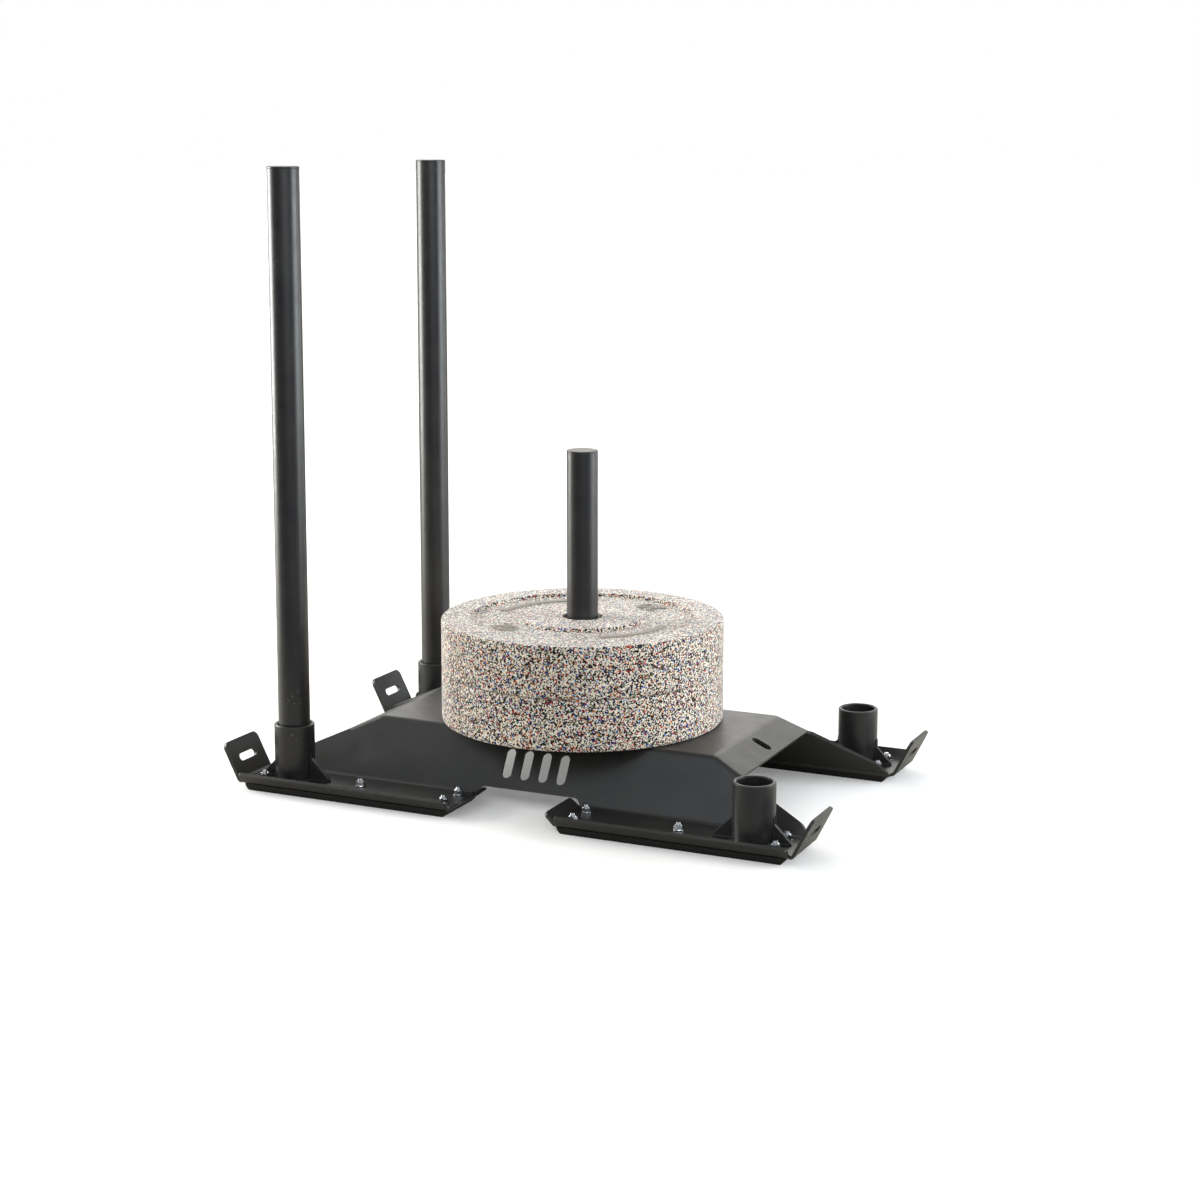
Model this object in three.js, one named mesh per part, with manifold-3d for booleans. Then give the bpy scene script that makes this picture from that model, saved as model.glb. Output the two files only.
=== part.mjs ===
import * as THREE from 'three';
import { mergeVertices } from 'three/addons/utils/BufferGeometryUtils.js';
import Module from 'manifold-3d';

// Drag sled: a bent steel frame on four plastic runners, with two push poles that stand loose in
// the rear sockets and two bumper plates that lie loose on the weight horn.
// Millimetres. +X is the front, +Y the left side, +Z up. The origin is on the floor, under the middle.

// Fits shared by all pieces
const gap = 0.3; // between pieces that touch or are welded
const overrun = 3; // how far a cutter passes the faces that it cuts
const sheet = 5; // bent steel sheet of the frame
const bendRadius = 5; // inside radius of a bend
const degree = Math.PI / 180;

// Deck shell
const deckTop = 105; // above the floor
const deckLength = 574; // between the bends where the slopes start
const deckTopWidth = 268.8; // between the two long bends
const sideSplay = 30.5 * degree; // side plates lean out from upright
const sideEndRise = 14; // steep end of a side plate, above the pan
const sideEndLean = 8; // how far that end leans back
const archRise = 10; // under the middle of a side plate, above the pan
const archLean = 6; // how far the arch's ends lean in
const slopeLength = 55;
const towSlotLength = 34;
const towSlotWidth = 18;
const sideSlotCount = 4;
const sideSlotWidth = 17;
const sideSlotHeight = 48;
const sideSlotPitch = 31;
const sideSlotDrop = 51; // from the long bend to the slots' middle, down the side plate

// Foot pans, given for the front left foot
const panInnerX = 92; // bend of the low inner flap
const panLength = 373; // from that bend to the bend of the tall outer flap
const panWidth = 91.6; // from the side plate's foot to the flange's bend
const innerFlapLength = 24.5;
const innerFlapAngle = 35 * degree;
const innerFlapTaper = 5; // how much narrower its tip is
const outerFlapLength = 62;
const outerFlapAngle = 63 * degree;
const outerFlapCorner = 11;
const flangeLength = 16.6;
const flangeAngle = 56 * degree;
const flangeCorner = 6;
const footInnerStep = 4; // flange and side plate start this far inside the inner flap's bend
const footOuterStep = 6; // and end this far inside the outer flap's bend
const flapSlotLength = 46;
const flapSlotWidth = 12;
const flapSlotHeight = 31; // from the outer flap's bend, up the flap

// Runners
const runnerThickness = 10;
const runnerOuterInset = 13; // from the outer flap's bend
const runnerSideInset = 2; // from the pan's inner edge
const runnerOverhang = 1.4; // past the flange's bend
const runnerCorner = 12;
const runnerEndChamfer = 6;

// Bolts, washers and nuts
const boltDiameter = 8;
const boltHeadDiameter = 15;
const boltHeadRecess = 1.2;
const boltHeadTaper = 3.5; // height of the countersunk cone
const boltEnd = 3; // thread that stands out of the nut
const washerDiameter = 17;
const washerThickness = 1.6;
const nutFlats = 13;
const nutHeight = 8;
const boltInnerInset = 17.5; // from the inner flap's bend
const boltOuterInset = 32.5; // from the outer flap's bend
const boltRow = 48; // across the pan

// Pole sockets and their gussets
const socketDiameter = 63.5;
const socketBore = 52.5;
const socketHeight = 89.4;
const socketChamfer = 1.5;
const socketInset = 74.6; // from the outer flap's bend
const gussetThickness = 6;
const gussetHeight = 42;
const gussetNose = 3; // blunt ends
const innerGussetLength = 32;
const outerGussetLength = 26;

// Push poles
const poleDiameter = 50;
const poleWall = 3.5;
const poleLength = 961;

// Caps of the poles and the horn
const capThickness = 3;
const capChamfer = 0.8;
const capSpigot = 12;

// Weight horn
const hornDiameter = 49.5;
const hornWall = 4;
const hornLength = 432;
const hornX = 5; // forward of the middle
const hornBaseSize = 140;
const hornBaseThickness = 6;
const hornBaseCorner = 10;

// Bumper plates and their hub inserts
const plateDiameter = 450;
const plateThickness = 81.3;
const plateEdgeRadius = 4;
const plateRimWidth = 47;
const plateHubDiameter = 200;
const plateDishDepth = 5;
const plateDishSlope = 4;
const insertBore = 50.7;
const insertWall = 5.5;
const insertRecess = 5;
const insertCollarHeight = 20;
const insertCollarDepth = 7;

// Roundness of the facets
const bendSteps = 3;
const slotSteps = 5;
const boltSides = 8;
const nutSides = 6;
const tubeSides = 28;
const plateSides = 40;

// Heights and places that follow from the sizes above
const panLow = runnerThickness + gap;
const panTop = panLow + sheet;
const sideFoot = panTop + gap;
const panOuterX = panInnerX + panLength;
const footInnerX = panInnerX - footInnerStep;
const footOuterX = panOuterX - footOuterStep;
const sideFootY = deckTopWidth / 2 + (deckTop - sideFoot) * Math.tan(sideSplay);
const panInnerY = sideFootY - sheet / Math.cos(sideSplay);
const flangeY = sideFootY + panWidth;
const socketX = panOuterX - socketInset;
const socketY = sideFootY + panWidth / 2;
const sideEndTopX = footOuterX - sideEndLean;
const sideEndTopZ = sideFoot + sideEndRise;
const slopeAngle = Math.atan2(deckTop - sideEndTopZ, sideEndTopX - deckLength / 2);

// Points and outlines

function point(u, v) {
  return new THREE.Vector2(u, v);
}

function along(from, angle, length) {
  return point(from.x + length * Math.cos(angle), from.y + length * Math.sin(angle));
}

// Arcs in place of the corners of an open path, whose ends stay
function rounded(path, radius) {
  const points = [path[0]];
  for (let i = 1; i < path.length - 1; i += 1) {
    const before = path[i - 1].clone().sub(path[i]).normalize();
    const after = path[i + 1].clone().sub(path[i]).normalize();
    const halfAngle = Math.acos(before.dot(after)) / 2;
    const middle = before.clone().add(after).normalize();
    const centre = path[i].clone().addScaledVector(middle, radius / Math.sin(halfAngle));
    const start = path[i].clone().addScaledVector(before, radius / Math.tan(halfAngle));
    const turn = Math.sign(before.cross(after)) * (2 * halfAngle - Math.PI);
    for (let k = 0; k <= bendSteps; k += 1) {
      points.push(start.clone().rotateAround(centre, (turn * k) / bendSteps));
    }
  }
  points.push(path[path.length - 1]);
  return points;
}

// Arcs at all corners of a closed outline, which starts half way along its last side
function roundedLoop(corners, radius) {
  const start = corners[0].clone().add(corners[corners.length - 1]).divideScalar(2);
  return rounded([start, ...corners, start], radius).slice(0, -1);
}

// An open path moved to the right of its run
function moved(path, distance) {
  return path.map((place, i) => {
    const runs = [[path[i - 1], place], [place, path[i + 1]]].filter(([a, b]) => a && b);
    const sides = runs.map(([a, b]) => point(b.y - a.y, a.x - b.x).normalize());
    const first = sides[0];
    const last = sides[sides.length - 1];
    const reach = distance / (1 + first.dot(last));
    return place.clone().addScaledVector(first, reach).addScaledVector(last, reach);
  });
}

// Section of a bent sheet, from its face inside the bends, with the other face to its right
function sheetSection(insideFace) {
  const outsideFace = rounded(moved(insideFace, sheet), bendRadius + sheet);
  return [...rounded(insideFace, bendRadius), ...outsideFace.reverse()];
}

function slotOutline(length, width) {
  const reach = (length - width) / 2;
  const outline = [];
  for (const end of [1, -1]) {
    for (let k = 0; k <= slotSteps; k += 1) {
      const angle = Math.PI * (k / slotSteps - end / 2);
      outline.push(along(point(end * reach, 0), angle, width / 2));
    }
  }
  return outline;
}

function mirrored(outline) {
  return outline.map((p) => point(-p.x, p.y));
}

// Solids

const wasm = await Module();
wasm.setup();

function solidOf(geometry) {
  const bare = geometry.clone();
  bare.deleteAttribute('normal');
  bare.deleteAttribute('uv');
  const merged = mergeVertices(bare);
  const corners = merged.index.array;
  const kept = [];
  for (let i = 0; i < corners.length; i += 3) {
    const [a, b, c] = corners.slice(i, i + 3);
    if (a !== b && b !== c && c !== a) kept.push(a, b, c);
  }
  return new wasm.Manifold(new wasm.Mesh({
    numProp: 3,
    vertProperties: new Float32Array(merged.attributes.position.array),
    triVerts: new Uint32Array(kept),
  }));
}

function geometryOf(solid) {
  const mesh = solid.getMesh();
  const geometry = new THREE.BufferGeometry();
  geometry.setAttribute('position', new THREE.BufferAttribute(mesh.vertProperties, 3));
  geometry.setIndex(new THREE.BufferAttribute(mesh.triVerts, 1));
  geometry.computeVertexNormals();
  return geometry;
}

function extruded(outline, depth) {
  return new THREE.ExtrudeGeometry(new THREE.Shape(outline), { depth, bevelEnabled: false });
}

// Outline in Y and Z, from one X to another
function prismX(outline, from, to) {
  const geometry = extruded(outline, to - from).rotateX(Math.PI / 2).rotateZ(Math.PI / 2);
  return solidOf(geometry.translate(from, 0, 0));
}

// Outline in X and Z, from one Y to another
function prismY(outline, from, to) {
  return solidOf(extruded(outline, to - from).rotateX(Math.PI / 2).translate(0, to, 0));
}

// Outline in X and Y, from one Z to another
function prismZ(outline, from, to) {
  return solidOf(extruded(outline, to - from).translate(0, 0, from));
}

// Profile of radius and height, turned round the Z axis
function turned(profile, sides) {
  return solidOf(new THREE.LatheGeometry(profile, sides).rotateX(Math.PI / 2));
}

function bar(diameter, from, to, sides) {
  const geometry = new THREE.CylinderGeometry(diameter / 2, diameter / 2, to - from, sides);
  return solidOf(geometry.rotateX(Math.PI / 2).translate(0, 0, (from + to) / 2));
}

function joined(solids) {
  return solids.reduce((sum, solid) => sum.add(solid));
}

// Slot cutter, long along X and deep along Z until it is turned about Z, X and Y in that order
function slotCutter(length, width, turns, place) {
  const depth = 2 * (sheet + overrun);
  const geometry = extruded(slotOutline(length, width), depth).translate(0, 0, -depth / 2);
  geometry.rotateZ(turns.z ?? 0).rotateX(turns.x ?? 0).rotateY(turns.y ?? 0);
  return solidOf(geometry.translate(...place));
}

// Copy of a front left piece for the quarter of the plan with these signs of X and Y
function inQuarter(geometry, sideX, sideY) {
  const copy = geometry.clone().scale(sideX, sideY, 1);
  if (sideX * sideY < 0) {
    const corners = copy.index.array;
    for (let i = 0; i < corners.length; i += 3) {
      [corners[i], corners[i + 1]] = [corners[i + 1], corners[i]];
    }
  }
  copy.computeVertexNormals();
  return copy;
}

// Deck shell: a hipped block, hollowed from below and opened past the slopes

function deckSolid() {
  const slopeTop = point(deckLength / 2, deckTop);
  const sideEndTop = point(sideEndTopX, sideEndTopZ);
  const below = sideFoot - sheet - overrun;

  const across = (foot) => {
    const footY = deckTopWidth / 2 + (deckTop - foot) * Math.tan(sideSplay);
    const bendY = deckTopWidth / 2;
    return [point(-footY, foot), point(-bendY, deckTop), point(bendY, deckTop), point(footY, foot)];
  };
  const lengthwise = [...mirrored([sideEndTop, slopeTop]), slopeTop, sideEndTop];
  const foot = [
    point(footOuterX, sideFoot),
    point(footInnerX, sideFoot),
    point(footInnerX - archLean, sideFoot + archRise),
  ];
  const outline = [
    ...rounded(lengthwise, bendRadius + sheet),
    ...foot,
    ...mirrored(foot).reverse(),
  ];
  const block = prismX(rounded(across(sideFoot), bendRadius + sheet), -footOuterX, footOuterX)
    .intersect(prismY(outline, -flangeY, flangeY));

  const insideAcross = rounded(moved(across(below), sheet), bendRadius);
  const inside = [
    ...rounded(moved(lengthwise, sheet), bendRadius),
    point(sideEndTop.x, below),
    point(-sideEndTop.x, below),
  ];
  const hollow = prismX(insideAcross, -footOuterX, footOuterX)
    .intersect(prismY(inside, -flangeY, flangeY));

  // The open end starts square to the slope, at its lower edge
  const slopeEnd = along(slopeTop, -slopeAngle, slopeLength);
  const square = Math.PI / 2 - slopeAngle;
  const endAbove = along(slopeEnd, square, overrun);
  const endBelow = along(slopeEnd, square, -sheet - overrun);
  const openX = footOuterX + overrun;
  const openEnd = [
    endAbove,
    endBelow,
    point(endBelow.x, below),
    point(openX, below),
    point(openX, endAbove.y),
  ];
  const openEnds = prismY(openEnd, -flangeY, flangeY)
    .add(prismY(mirrored(openEnd), -flangeY, flangeY))
    .intersect(prismX(insideAcross, -openX, openX));

  const hornHole = bar(
    hornDiameter + 2 * gap,
    deckTop - sheet - overrun,
    deckTop + overrun,
    tubeSides,
  ).translate([hornX, 0, 0]);
  const cutters = [hollow, openEnds, hornHole];

  const slopeMiddle = along(slopeTop, -slopeAngle, slopeLength / 2);
  for (const end of [-1, 1]) {
    const place = [end * slopeMiddle.x, 0, slopeMiddle.y];
    cutters.push(slotCutter(towSlotLength, towSlotWidth, { y: end * slopeAngle }, place));
  }

  const slotY = deckTopWidth / 2 + sideSlotDrop * Math.sin(sideSplay);
  const slotZ = deckTop - sideSlotDrop * Math.cos(sideSplay);
  for (const side of [-1, 1]) {
    const turns = { z: Math.PI / 2, x: side * sideSplay - Math.PI / 2 };
    for (let i = 0; i < sideSlotCount; i += 1) {
      const x = (i - (sideSlotCount - 1) / 2) * sideSlotPitch;
      cutters.push(slotCutter(sideSlotHeight, sideSlotWidth, turns, [x, side * slotY, slotZ]));
    }
  }
  return block.subtract(joined(cutters));
}

// Places of the bolts in the front left foot: four corners and the middle

const boltInnerX = panInnerX + boltInnerInset;
const boltOuterX = panOuterX - boltOuterInset;
const boltPlaces = [
  [boltInnerX, socketY - boltRow / 2],
  [boltInnerX, socketY + boltRow / 2],
  [(boltInnerX + boltOuterX) / 2, socketY],
  [boltOuterX, socketY - boltRow / 2],
  [boltOuterX, socketY + boltRow / 2],
];

function atBolts(solid) {
  return joined(boltPlaces.map(([x, y]) => solid.translate([x, y, 0])));
}

// Foot pan: a floor with a flange along its outer side and a flap at either end

function panSolid() {
  const innerBend = point(panInnerX, panTop);
  const outerBend = point(panOuterX, panTop);
  const innerTip = along(innerBend, Math.PI - innerFlapAngle, innerFlapLength);
  const outerTip = along(outerBend, outerFlapAngle, outerFlapLength);
  const flangeTip = along(point(flangeY, panTop), flangeAngle, flangeLength);
  const below = panLow - overrun;

  const flangeSection = sheetSection([point(panInnerY, panTop), point(flangeY, panTop), flangeTip]);
  const flangeOutline = rounded([
    point(footInnerX, below),
    point(footInnerX, flangeTip.y),
    point(footOuterX, flangeTip.y),
    point(footOuterX, below),
  ], flangeCorner);
  const flangePart = prismX(flangeSection, footInnerX, footOuterX)
    .intersect(prismY(flangeOutline, panInnerY - overrun, flangeTip.x + sheet + overrun));

  const flapSection = sheetSection([innerTip, innerBend, outerBend, outerTip]);
  const flapOutline = rounded([
    point(sideFootY, below),
    point(sideFootY, outerTip.y),
    point(flangeY, outerTip.y),
    point(flangeY, below),
  ], outerFlapCorner);
  const taper = [
    point(innerTip.x - sheet, sideFootY),
    point(outerTip.x + sheet, sideFootY),
    point(outerTip.x + sheet, flangeY),
    point(panInnerX, flangeY),
    point(innerTip.x - sheet, flangeY - innerFlapTaper),
  ];
  const flapPart = prismY(flapSection, sideFootY, flangeY)
    .intersect(prismX(flapOutline, innerTip.x - sheet, outerTip.x + sheet))
    .intersect(prismZ(taper, below, outerTip.y + overrun));

  const flapMiddle = along(outerBend, outerFlapAngle, flapSlotHeight);
  const flapSlot = slotCutter(
    flapSlotLength,
    flapSlotWidth,
    { z: Math.PI / 2, y: Math.PI - outerFlapAngle },
    [flapMiddle.x, socketY, flapMiddle.y],
  );
  const boltHole = bar(boltDiameter + 2 * gap, below, panTop + overrun, boltSides);
  return flangePart.add(flapPart).subtract(flapSlot.add(atBolts(boltHole)));
}

// Runner: a plastic strip with chamfered ends, rounded corners and countersunk holes

function runnerSolid() {
  const from = panInnerX;
  const to = panOuterX - runnerOuterInset;
  const innerY = panInnerY + runnerSideInset;
  const outerY = flangeY + runnerOverhang;
  const sideView = [
    point(from + runnerEndChamfer, 0),
    point(to - runnerEndChamfer, 0),
    point(to, runnerEndChamfer),
    point(to, runnerThickness),
    point(from, runnerThickness),
    point(from, runnerEndChamfer),
  ];
  const plan = roundedLoop([
    point(from, innerY),
    point(to, innerY),
    point(to, outerY),
    point(from, outerY),
  ], runnerCorner);
  const strip = prismY(sideView, innerY, outerY)
    .intersect(prismZ(plan, -overrun, runnerThickness + overrun));

  const holeRadius = boltDiameter / 2 + gap;
  const sinkRadius = boltHeadDiameter / 2 + gap;
  const hole = turned([
    point(0, -overrun),
    point(sinkRadius, -overrun),
    point(sinkRadius, boltHeadRecess),
    point(holeRadius, boltHeadRecess + boltHeadTaper),
    point(holeRadius, runnerThickness + overrun),
    point(0, runnerThickness + overrun),
  ], boltSides);
  return strip.subtract(atBolts(hole));
}

// Bolt with its washer and nut, screwed together

function boltSolid() {
  const shank = boltDiameter / 2;
  const washerLow = panTop + gap;
  const washerTop = washerLow + washerThickness;
  const nutTop = washerTop + nutHeight;
  const boltAndWasher = turned([
    point(0, boltHeadRecess),
    point(boltHeadDiameter / 2, boltHeadRecess),
    point(shank, boltHeadRecess + boltHeadTaper),
    point(shank, washerLow),
    point(washerDiameter / 2, washerLow),
    point(washerDiameter / 2, washerTop),
    point(shank, washerTop),
    point(shank, nutTop + boltEnd),
    point(0, nutTop + boltEnd),
  ], boltSides);
  const nutDiameter = nutFlats / Math.cos(Math.PI / nutSides);
  return boltAndWasher.add(bar(nutDiameter, washerLow, nutTop, nutSides));
}

function socketSolid() {
  const outer = socketDiameter / 2;
  const bore = socketBore / 2;
  return turned([
    point(bore, 0),
    point(outer, 0),
    point(outer, socketHeight - socketChamfer),
    point(outer - socketChamfer, socketHeight),
    point(bore + socketChamfer, socketHeight),
    point(bore, socketHeight - socketChamfer),
    point(bore, 0),
  ], tubeSides);
}

// Gusset that leans on the socket at its left end
function gussetSolid(length) {
  return prismY([
    point(0, 0),
    point(length, 0),
    point(length, gussetNose),
    point(gussetNose, gussetHeight),
    point(0, gussetHeight),
  ], -gussetThickness / 2, gussetThickness / 2);
}

function tubeSolid(diameter, wall, length) {
  const bore = diameter / 2 - wall;
  return turned([
    point(bore, 0),
    point(diameter / 2, 0),
    point(diameter / 2, length),
    point(bore, length),
    point(bore, 0),
  ], tubeSides);
}

// Disc on a spigot that closes a tube; its height is taken from the tube's end
function capSolid(diameter, wall) {
  const spigot = diameter / 2 - wall - gap;
  const top = gap + capThickness;
  return turned([
    point(0, -capSpigot),
    point(spigot, -capSpigot),
    point(spigot, gap),
    point(diameter / 2, gap),
    point(diameter / 2, top - capChamfer),
    point(diameter / 2 - capChamfer, top),
    point(0, top),
  ], tubeSides);
}

function hornBaseSolid() {
  const reach = hornBaseSize / 2;
  const plan = [point(-reach, -reach), point(reach, -reach), point(reach, reach), point(-reach, reach)];
  return prismZ(roundedLoop(plan, hornBaseCorner), 0, hornBaseThickness);
}

// Steps of the joint between a bumper plate and its hub insert, from the bottom up
function hubSteps(clearance) {
  const outer = insertBore / 2 + insertWall + clearance;
  const collar = outer + insertCollarDepth;
  const middle = plateThickness / 2;
  const reach = insertCollarHeight / 2 + clearance;
  return [
    point(outer, middle - reach),
    point(collar, middle - reach),
    point(collar, middle + reach),
    point(outer, middle + reach),
  ];
}

// Bumper plate: rim and hub stand proud of a shallow dish on both faces

function plateSolid() {
  const radius = plateDiameter / 2;
  const rim = radius - plateRimWidth;
  const hub = plateHubDiameter / 2;
  const bore = insertBore / 2 + insertWall + gap;
  const lowerFace = [
    point(bore, 0),
    point(hub, 0),
    point(hub + plateDishSlope, plateDishDepth),
    point(rim - plateDishSlope, plateDishDepth),
    point(rim, 0),
  ];
  const upperFace = lowerFace.map((p) => point(p.x, plateThickness - p.y)).reverse();
  const edge = rounded(
    [point(rim, 0), point(radius, 0), point(radius, plateThickness), point(rim, plateThickness)],
    plateEdgeRadius,
  ).slice(1, -1);
  return turned([
    ...lowerFace,
    ...edge,
    ...upperFace,
    ...hubSteps(gap).reverse(),
    point(bore, 0),
  ], plateSides);
}

function insertSolid() {
  const bore = insertBore / 2;
  const outer = bore + insertWall;
  return turned([
    point(bore, insertRecess),
    point(outer, insertRecess),
    ...hubSteps(0),
    point(outer, plateThickness - insertRecess),
    point(bore, plateThickness - insertRecess),
    point(bore, insertRecess),
  ], tubeSides);
}

// Materials

function finish(color, roughness, metalness) {
  return new THREE.MeshStandardMaterial({ color, roughness, metalness, flatShading: true });
}

const coatedSheet = finish(0x2b2b2d, 0.55, 0.2);
const coatedTube = finish(0x242527, 0.5, 0.2);
const blackPlastic = finish(0x161616, 0.6, 0);
const zincSteel = finish(0xc8ccd0, 0.3, 1);
const hubSteel = finish(0x6e6d6a, 0.4, 0.9);
const recycledRubber = finish(0xb9b0a6, 0.85, 0);

function piece(name, geometry, material, x = 0, y = 0, z = 0) {
  const mesh = new THREE.Mesh(geometry, material);
  mesh.name = name;
  mesh.position.set(x, y, z);
  return mesh;
}

// Assembly

const sled = new THREE.Group();
sled.add(piece('deck_shell', geometryOf(deckSolid()), coatedSheet));

const quarters = [
  { foot: 'front_left', sideX: 1, sideY: 1 },
  { foot: 'front_right', sideX: 1, sideY: -1 },
  { foot: 'rear_left', sideX: -1, sideY: 1 },
  { foot: 'rear_right', sideX: -1, sideY: -1 },
];
const gussets = [
  { end: 'inner', side: -1, length: innerGussetLength },
  { end: 'outer', side: 1, length: outerGussetLength },
];
const pan = geometryOf(panSolid());
const runner = geometryOf(runnerSolid());
const bolt = geometryOf(boltSolid());
const socket = geometryOf(socketSolid());

for (const { foot, sideX, sideY } of quarters) {
  const group = new THREE.Group();
  group.add(piece(`foot_pan_${foot}`, inQuarter(pan, sideX, sideY), coatedSheet));
  group.add(piece(`runner_${foot}`, inQuarter(runner, sideX, sideY), blackPlastic));
  boltPlaces.forEach(([x, y], i) => {
    group.add(piece(`bolt_${foot}_${i + 1}`, bolt, zincSteel, sideX * x, sideY * y));
  });
  group.add(piece(`socket_${foot}`, socket, coatedTube, sideX * socketX, sideY * socketY, sideFoot));
  for (const { end, side, length } of gussets) {
    const gusset = inQuarter(geometryOf(gussetSolid(length)), side * sideX, 1);
    const x = socketX + side * (socketDiameter / 2 + gap);
    const name = `gusset_${foot}_${end}`;
    group.add(piece(name, gusset, coatedSheet, sideX * x, sideY * socketY, sideFoot));
  }
  sled.add(group);
}

const pole = geometryOf(tubeSolid(poleDiameter, poleWall, poleLength));
const poleCap = geometryOf(capSolid(poleDiameter, poleWall));
for (const [side, sideY] of [['left', 1], ['right', -1]]) {
  const group = new THREE.Group();
  group.position.set(-socketX, sideY * socketY, sideFoot);
  group.add(piece(`push_pole_${side}`, pole, coatedTube));
  group.add(piece(`pole_cap_${side}`, poleCap, coatedTube, 0, 0, poleLength));
  sled.add(group);
}

const horn = new THREE.Group();
const hornFoot = deckTop - sheet;
horn.position.set(hornX, 0, hornFoot);
horn.add(piece('horn_tube', geometryOf(tubeSolid(hornDiameter, hornWall, hornLength)), coatedTube));
horn.add(piece('horn_cap', geometryOf(capSolid(hornDiameter, hornWall)), hubSteel, 0, 0, hornLength));
const hornBaseZ = -gap - hornBaseThickness;
horn.add(piece('horn_base_plate', geometryOf(hornBaseSolid()), coatedSheet, 0, 0, hornBaseZ));
sled.add(horn);

const plate = geometryOf(plateSolid());
const insert = geometryOf(insertSolid());
['lower', 'upper'].forEach((place, i) => {
  const group = new THREE.Group();
  group.position.set(hornX, 0, deckTop + gap + i * (plateThickness + gap));
  group.add(piece(`bumper_plate_${place}`, plate, recycledRubber));
  group.add(piece(`hub_insert_${place}`, insert, hubSteel));
  sled.add(group);
});

export default sled;
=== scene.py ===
import math

import bmesh
import bpy
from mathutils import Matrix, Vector


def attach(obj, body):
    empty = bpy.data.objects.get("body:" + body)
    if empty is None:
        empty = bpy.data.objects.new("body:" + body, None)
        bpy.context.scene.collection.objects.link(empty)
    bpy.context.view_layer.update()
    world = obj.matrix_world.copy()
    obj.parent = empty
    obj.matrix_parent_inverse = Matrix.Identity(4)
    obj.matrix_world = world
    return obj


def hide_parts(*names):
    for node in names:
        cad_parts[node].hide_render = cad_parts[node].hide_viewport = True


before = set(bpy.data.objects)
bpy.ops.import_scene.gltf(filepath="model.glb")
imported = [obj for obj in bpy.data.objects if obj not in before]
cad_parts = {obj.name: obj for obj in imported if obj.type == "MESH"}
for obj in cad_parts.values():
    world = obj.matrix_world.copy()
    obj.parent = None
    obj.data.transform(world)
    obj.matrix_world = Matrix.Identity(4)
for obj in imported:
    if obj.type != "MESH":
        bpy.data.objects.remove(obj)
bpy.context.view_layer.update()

# Drag sled: black powder-coated sheet steel on plastic runners, two loose push poles in the rear
# sockets, and two pressed-rubber bumper plates on the horn. Sizes in mm, the scene in metres.
# +X is the front, +Y the left side, +Z up.

mm = 0.001
merged = 0.005  # verts closer than this, in mm, become one
close = 0.1  # what lies within this, in mm, of a line is picked as on it
print("frame loaded,", len(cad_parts), "nodes")


# Camera, close to the photo's view

photoCamera = {
    "azimuth": 24.855, "elevation": 9.007, "distance": 3745.4,
    "aimRight": 32.4, "aimHeight": 486.9,
    "lens": 71.108, "sensor": 36, "shift": -0.1,
}


def makeCamera(c):
    turn, tilt = math.radians(c["azimuth"]), math.radians(c["elevation"])
    back = Vector((math.sin(turn) * math.cos(tilt), -math.cos(turn) * math.cos(tilt), math.sin(tilt)))
    aim = Vector((c["aimRight"] * math.cos(turn), c["aimRight"] * math.sin(turn), c["aimHeight"])) * mm
    bpy.ops.object.camera_add(location=aim + back * c["distance"] * mm)
    camera = bpy.context.object
    camera.name = "photoCamera"
    camera.rotation_mode = "QUATERNION"
    camera.rotation_quaternion = back.to_track_quat("Z", "Y")
    camera.data.sensor_width = c["sensor"]
    camera.data.lens = c["lens"]
    camera.data.shift_y = c["shift"]
    camera.data.clip_end = 100
    bpy.context.scene.camera = camera


makeCamera(photoCamera)
print("camera placed")


# Modelling by hand, in a few short steps

def choose(piece):
    bpy.ops.object.select_all(action="DESELECT")
    piece.select_set(True)
    bpy.context.view_layer.objects.active = piece
    return piece


def startEdit(piece):
    choose(piece)
    bpy.ops.object.mode_set(mode="EDIT")
    bpy.ops.mesh.select_mode(type="VERT")
    bpy.ops.mesh.select_all(action="SELECT")


def stopEdit():
    bpy.ops.object.mode_set(mode="OBJECT")


def pick(piece, kind, wanted):
    # selects the verts, edges or faces whose middle, in mm, is wanted
    bpy.ops.mesh.select_mode(type={"verts": "VERT", "edges": "EDGE", "faces": "FACE"}[kind])
    bpy.ops.mesh.select_all(action="DESELECT")
    mesh = bmesh.from_edit_mesh(piece.data)
    for part in getattr(mesh, kind):
        corners = [part] if kind == "verts" else part.verts
        middle = sum((v.co for v in corners), Vector()) / len(corners) / mm
        if wanted(middle, part):
            part.select_set(True)
    mesh.select_flush_mode()
    bmesh.update_edit_mesh(piece.data)


def runsAlong(edge, axis):
    return abs((edge.verts[0].co - edge.verts[1].co).normalized()[axis]) > 0.5


def pullEdges(x, y, z):
    bpy.ops.mesh.extrude_edges_move(TRANSFORM_OT_translate={"value": Vector((x, y, z)) * mm})


def stretch(x, y, z):
    # about the origin
    bpy.ops.transform.resize(value=(x, y, z), center_override=(0, 0, 0))


def shift(x, y, z):
    bpy.ops.transform.translate(value=Vector((x, y, z)) * mm)


def cutOff(at, facing):
    # a flat cut, closed with a face; what lies on the side that it faces goes
    bpy.ops.mesh.select_mode(type="VERT")
    bpy.ops.mesh.select_all(action="SELECT")
    bpy.ops.mesh.bisect(plane_co=Vector(at) * mm, plane_no=facing, use_fill=True, clear_outer=True)


def roundEdges(width, steps, kind="EDGES"):
    bpy.ops.mesh.bevel(offset=width * mm, offset_type="OFFSET", segments=steps, affect=kind)


def faceOutwards(piece):
    startEdit(piece)
    bpy.ops.mesh.remove_doubles(threshold=merged * mm)
    bpy.ops.mesh.select_all(action="SELECT")
    bpy.ops.mesh.normals_make_consistent(inside=False)
    stopEdit()


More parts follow.
